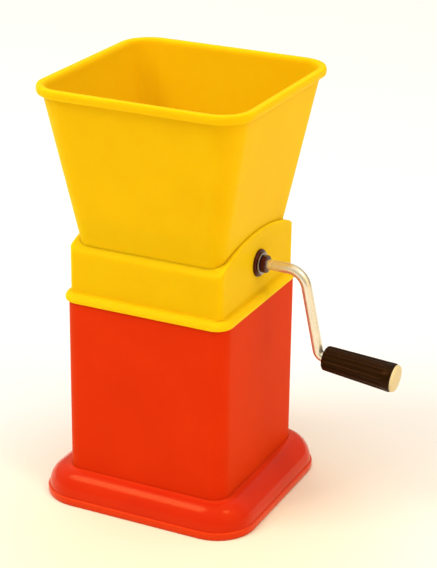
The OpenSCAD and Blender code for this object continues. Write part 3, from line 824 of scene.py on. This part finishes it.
join_rows(build, cell_rows, looped=False)
punched_cell = as_drawn("punched_cell", build)

drum_tree, given = growing_tree("punched_drum", {
    "Holes around": "Int", "Rows": "Int", "Pitch around": "Float", "Pitch along": "Float", "Radius": "Float",
    "Axis height": "Float", "Finish": "Material"})


def sums_in(tree):
    """A short way to write sums in one tree."""
    return lambda *parts: reckon(tree, *parts)


total = sums_in(drum_tree)
width = total("MULTIPLY", total("SUBTRACT", given["Rows"], 1.0), given["Pitch along"])
girth = total("MULTIPLY", total("SUBTRACT", given["Holes around"], 1.0), given["Pitch around"])
layout = add(drum_tree, "GeometryNodeMeshGrid", {
    "Size X": width, "Size Y": girth, "Vertices X": given["Rows"], "Vertices Y": given["Holes around"]})
spot = add(drum_tree, "ShaderNodeSeparateXYZ", {
    "Vector": add(drum_tree, "GeometryNodeInputPosition").outputs[0]})
from_end = total("ADD", spot.outputs["X"], total("MULTIPLY", width, 0.5))
row_number = total("ROUND", total("DIVIDE", from_end, given["Pitch along"]))
turned_on = total("MULTIPLY", total("MODULO", row_number, 2.0), total("MULTIPLY", given["Pitch around"], 0.5))
staggered = add(drum_tree, "GeometryNodeSetPosition", {
    "Geometry": layout.outputs["Mesh"],
    "Offset": add(drum_tree, "ShaderNodeCombineXYZ", {"Y": turned_on}).outputs["Vector"]})
punched = add(drum_tree, "GeometryNodeInstanceOnPoints", {"Points": staggered.outputs["Geometry"],
                                                          "Instance": given["Geometry"]})
flat_sheet = add(drum_tree, "GeometryNodeRealizeInstances", {"Geometry": punched.outputs["Instances"]})
on_sheet = add(drum_tree, "ShaderNodeSeparateXYZ", {
    "Vector": add(drum_tree, "GeometryNodeInputPosition").outputs[0]})
angle = total("DIVIDE", on_sheet.outputs["Y"], given["Radius"])
out_to = total("ADD", on_sheet.outputs["Z"], given["Radius"])
rolled_up = add(drum_tree, "ShaderNodeCombineXYZ", {
    "X": on_sheet.outputs["X"], "Y": total("MULTIPLY", out_to, total("SINE", angle)),
    "Z": total("ADD", given["Axis height"], total("MULTIPLY", out_to, total("COSINE", angle)))})
tube = add(drum_tree, "GeometryNodeSetPosition", {"Geometry": flat_sheet.outputs["Geometry"],
                                                  "Position": rolled_up.outputs["Vector"]})
welded = add(drum_tree, "GeometryNodeMergeByDistance", {"Geometry": tube.outputs["Geometry"],
                                                        "Distance": 0.01 * mm})
wrap_up(drum_tree, welded.outputs["Geometry"], given["Finish"])
drum = grown("drum", drum_tree, punched_cell, {
    "Holes around": holes_around, "Rows": hole_rows, "Pitch around": pitch_around, "Pitch along": pitch_along,
    "Radius": drum_radius, "Axis height": shaft_z, "Finish": stainless})

build = bmesh.new()
build.from_mesh(drum.data)
for side in (1, -1):
    rim_edges = [e for e in build.edges
                 if e.is_boundary and (e.verts[0].co.x + e.verts[1].co.x) * side > 0]
    made = bmesh.ops.extrude_edge_only(build, edges=rim_edges)["geom"]
    for vert in (v for v in made if isinstance(v, bmesh.types.BMVert)):
        vert.co.x = side * drum_half
    open_edges = [e for e in made if isinstance(e, bmesh.types.BMEdge) and e.is_boundary]
    bmesh.ops.bridge_loops(build, edges=open_edges)
bmesh.ops.recalc_face_normals(build, faces=build.faces)
build.to_mesh(drum.data)
build.free()
drum.data.set_sharp_from_angle(angle=math.radians(35))
place_piece(drum, "rotor", ["grating_drum"])


# ------------------------------------------------------------------ drum hubs and pins
# A spoked hub of undyed plastic is pressed into each end of the drum, and a steel pin through its
# boss and the rod drives it.

for node in ("drum_hub_near", "drum_hub_far"):
    finish_node(node, undyed_polypropylene)
finish_node("drive_pins", zinc)


# ------------------------------------------------------------------ grip
# A turning sleeve of black plastic with shallow flutes, a little thicker at its outer end, loose
# on the spindle. A pressed washer keeps it on, behind a domed cream cap.

# Warm black moulding with a soft shine on its ribs, a little browner where the hand has polished it.
black_grip, grip_tree, grip_shader = finish_of("black_fluted_plastic", IOR=1.5, Specular_IOR_Level=0.22,
                                               Specular_Tint=from_hex("ffa860"))
grip_place = own_space(grip_tree)
grip_grain = speckle(grip_tree, grip_place, 1.2 * mm, 3.0)
grip_hand = speckle(grip_tree, grip_place, 11 * mm, 2.0)
coat(grip_tree, grip_shader, Base_Color=blend(grip_tree, grip_hand, "0e0500", "180a01"),
     Roughness=ranged(grip_tree, grip_grain, 0.32, 0.5, 0.3, 0.7),
     Normal=relief(grip_tree, grip_grain, 0.3, 0.04 * mm))

# Distances along the spindle's line, from where the arm's line meets it and then from the sleeve's end.
sleeve_start = 3.263 * mm
sleeve_length = 38.5 * mm
inner_radius, outer_radius = 6.6 * mm, 7.7 * mm
pocket_radius, pocket_depth = 5.2 * mm, 6.5 * mm
bore_radius = rod_radius + 0.06 * mm
nose = 1.5 * mm
fluted_run, fluted_steps = 35.6 * mm, 18


def sleeve_radius(along):
    """How thick the sleeve is that far along it."""
    return inner_radius + (outer_radius - inner_radius) * along / sleeve_length


sleeve_profile = [(0, bore_radius + 0.3 * mm), (0, inner_radius - 1.5 * mm),
                  (0.25 * mm, inner_radius - 0.8 * mm), (0.8 * mm, inner_radius - 0.25 * mm),
                  (nose, inner_radius)]
for t in range(1, fluted_steps + 1):
    along = nose + fluted_run * t / fluted_steps
    sleeve_profile.append((along, sleeve_radius(along)))
sleeve_profile += [(sleeve_length - 0.8 * mm, outer_radius - 0.08 * mm),
                   (sleeve_length - 0.25 * mm, outer_radius - 0.3 * mm),
                   (sleeve_length, outer_radius - 0.7 * mm), (sleeve_length, pocket_radius),
                   (sleeve_length - pocket_depth, pocket_radius),
                   (sleeve_length - pocket_depth, bore_radius), (0.3 * mm, bore_radius)]
plain_sleeve = turned("plain_sleeve", sleeve_profile, (0, 0, 0), (0, 0, 1), around=168)

flute_tree, given = growing_tree("fluted_sleeve", {
    "Flutes": "Float", "Depth": "Float", "Start": "Float", "End": "Float", "Core": "Float",
    "Finish": "Material"})
total = sums_in(flute_tree)
start_fade, end_fade = 0.4 * mm, 2.2 * mm
groove_width = 0.34
skin_at = add(flute_tree, "ShaderNodeSeparateXYZ", {
    "Vector": add(flute_tree, "GeometryNodeInputPosition").outputs[0]}).outputs
from_axis = total("SQRT", total("ADD", total("POWER", skin_at["X"], 2.0), total("POWER", skin_at["Y"], 2.0)))
turns = total("DIVIDE", total("ARCTAN2", skin_at["Y"], skin_at["X"]), 2 * math.pi)
# How far round one flute a point is: 0 at the bottom of the groove, 0.5 on the rib.
share_round = total("FRACT", total("ADD", total("MULTIPLY", turns, given["Flutes"]), 100.5))
beat = total("ABSOLUTE", total("SUBTRACT", share_round, 0.5))
groove = ranged(flute_tree, beat, 1.0, 0.0, 0.0, groove_width, "SMOOTHSTEP")
runs_in = ranged(flute_tree, skin_at["Z"], 0.0, 1.0, given["Start"],
                 total("ADD", given["Start"], start_fade), "SMOOTHSTEP")
runs_out = ranged(flute_tree, skin_at["Z"], 1.0, 0.0, total("SUBTRACT", given["End"], end_fade),
                  given["End"], "SMOOTHSTEP")
on_skin = total("GREATER_THAN", from_axis, given["Core"])
sink = total("MULTIPLY", total("MULTIPLY", groove, runs_out), total("MULTIPLY", on_skin, given["Depth"]))
shrink = total("DIVIDE", total("MULTIPLY", total("MULTIPLY", sink, runs_in), -1.0), from_axis)
fluted = add(flute_tree, "GeometryNodeSetPosition", {
    "Geometry": given["Geometry"],
    "Offset": add(flute_tree, "ShaderNodeCombineXYZ", {
        "X": total("MULTIPLY", skin_at["X"], shrink),
        "Y": total("MULTIPLY", skin_at["Y"], shrink)}).outputs["Vector"]})
wrap_up(flute_tree, fluted.outputs["Geometry"], given["Finish"])
sleeve = grown("sleeve", flute_tree, plain_sleeve, {
    "Flutes": 14.0, "Depth": 0.55 * mm, "Start": -1 * mm, "End": 35.5 * mm, "Core": 5.25 * mm,
    "Finish": black_grip}, sharp=50)
sleeve.data.transform(standing(lower_corner + grip_line * sleeve_start, grip_line))
place_piece(sleeve, "grip", ["grip_sleeve"])

# Undyed cream moulding, yellowed a little, with a matt bloom and faint speckle.
cream = speckled("cream_moulding", ("dccb9c", "d0bc86"), 1.5 * mm, 3.0, dull=(0.45, 0.62),
                 bump=(0.2, 0.04 * mm), IOR=1.5, Specular_IOR_Level=0.3)

cap_radius = 7.1 * mm
cap_thick = 2.2 * mm
cap = turned("cap", [
    (-2.8 * mm, 0), (-2.8 * mm, 4.9 * mm), (-2.5 * mm, 5.17 * mm), (0, 5.17 * mm),
    (0, cap_radius - 0.15 * mm), (0.15 * mm, cap_radius), (1.0 * mm, cap_radius),
    (1.4 * mm, cap_radius - 0.15 * mm),
    (1.72 * mm, cap_radius - 0.5 * mm), (1.92 * mm, cap_radius - 1.1 * mm),
    (2.05 * mm, cap_radius - 2.2 * mm), (2.15 * mm, cap_radius - 4.2 * mm), (cap_thick, 0)],
    lower_corner + grip_line * (sleeve_start + sleeve_length), grip_line)
place_piece(cap, "grip", ["grip_cap"], cream)
finish_node("grip_retainer", zinc)


# ------------------------------------------------------------------ table, light and camera
# A pale sweep of paper, a sky that is brighter above and dimmer behind, a broad light above and to
# the left, and two on the right: a small high one and a warm low one.

floor_half = 4
floor_mesh = bpy.data.meshes.new("floor")
floor_mesh.from_pydata([(-floor_half, -floor_half, 0), (floor_half, -floor_half, 0),
                        (floor_half, floor_half, 0), (-floor_half, floor_half, 0)], [], [(0, 1, 2, 3)])
floor = put_in_scene("floor", floor_mesh)
# Matt pale paper, with a painted warm shade round and in front of the object for the warm bounce light and
# soft shadow there, fading to paler further off.
paper, paper_tree, paper_shader = finish_of("pale_paper", Specular_IOR_Level=0.0, Roughness=0.9)
painted_shade_centre, painted_shade_within, unshaded_beyond = (-0.03, 0.08, 0), 0.03, 0.24
from_middle = add(paper_tree, "ShaderNodeMapping", {"Vector": own_space(paper_tree),
                                                    "Location": painted_shade_centre})
distance = add(paper_tree, "ShaderNodeVectorMath", {0: from_middle.outputs["Vector"]}, operation="LENGTH")
shade_fade = ranged(paper_tree, distance.outputs["Value"], 0.0, 1.0, painted_shade_within, unshaded_beyond, "SMOOTHSTEP")
coat(paper_tree, paper_shader, Base_Color=blend(paper_tree, shade_fade, "efe7cf", "f1f2f4"))
floor.data.materials.append(paper)

world = bpy.data.worlds.new("studio")
bpy.context.scene.world = world
world.use_nodes = True
sky_tree = world.node_tree
skylight = sky_tree.nodes["Background"]
skylight.inputs["Color"].default_value = from_hex("fffaf0")
facing = add(sky_tree, "ShaderNodeSeparateXYZ", {
    "Vector": add(sky_tree, "ShaderNodeTexCoord").outputs["Generated"]}).outputs
brighter_above = ranged(sky_tree, facing["Z"], 0.44, 1.3, curve="SMOOTHSTEP")
dimmer_behind = ranged(sky_tree, facing["Y"], 1.0, 0.7, 0.0, 0.8, "SMOOTHSTEP")
coat(sky_tree, skylight, Strength=reckon(sky_tree, "MULTIPLY", brighter_above, dimmer_behind))
bpy.context.scene.view_settings.view_transform = "Standard"

lit = Vector((0, 0, 0.1))
for name, spot, size, power, colour in (("key", (-0.8, -0.9, 1.6), 0.85, 17, "fffaf0"),
                                        ("top_right", (1.1, -0.3, 1.55), 0.45, 6.0, "fff0d8"),
                                        ("right_fill", (1.7, -0.4, 0.8), 1.6, 8, "ffc860")):
    lamp = bpy.data.lights.new(name, "AREA")
    lamp.size, lamp.energy = size, power
    lamp.color = from_hex(colour)[:3]
    aim = (lit - Vector(spot)).to_track_quat("-Z", "Y").to_matrix().to_4x4()
    put_in_scene(name, lamp).matrix_world = Matrix.Translation(spot) @ aim

# The camera looks down on the front from the right, tilted by less than a degree.
turn, rise, tilt = math.radians(25.6), math.radians(22.25), math.radians(0.75)
aim_aside, aim_height = 18.8, 115.1
camera_distance = 0.9624
focal_length, film_width = 114.96, 36
back = Vector((math.sin(turn) * math.cos(rise), -math.cos(turn) * math.cos(rise), math.sin(rise)))
target = Vector((aim_aside * math.cos(turn), aim_aside * math.sin(turn), aim_height)) * mm
right = Vector((math.cos(turn), math.sin(turn), 0))
up = back.cross(right)
level_right = right * math.cos(tilt) + up * math.sin(tilt)
level_up = up * math.cos(tilt) - right * math.sin(tilt)
camera = put_in_scene("camera", bpy.data.cameras.new("camera"))
camera.data.lens = focal_length
camera.data.sensor_width = film_width
camera.data.sensor_fit = "AUTO"
camera.data.clip_end = 50
aim = Matrix((level_right, level_up, back)).transposed().to_4x4()
camera.matrix_world = Matrix.Translation(target + back * camera_distance) @ aim
bpy.context.scene.camera = camera
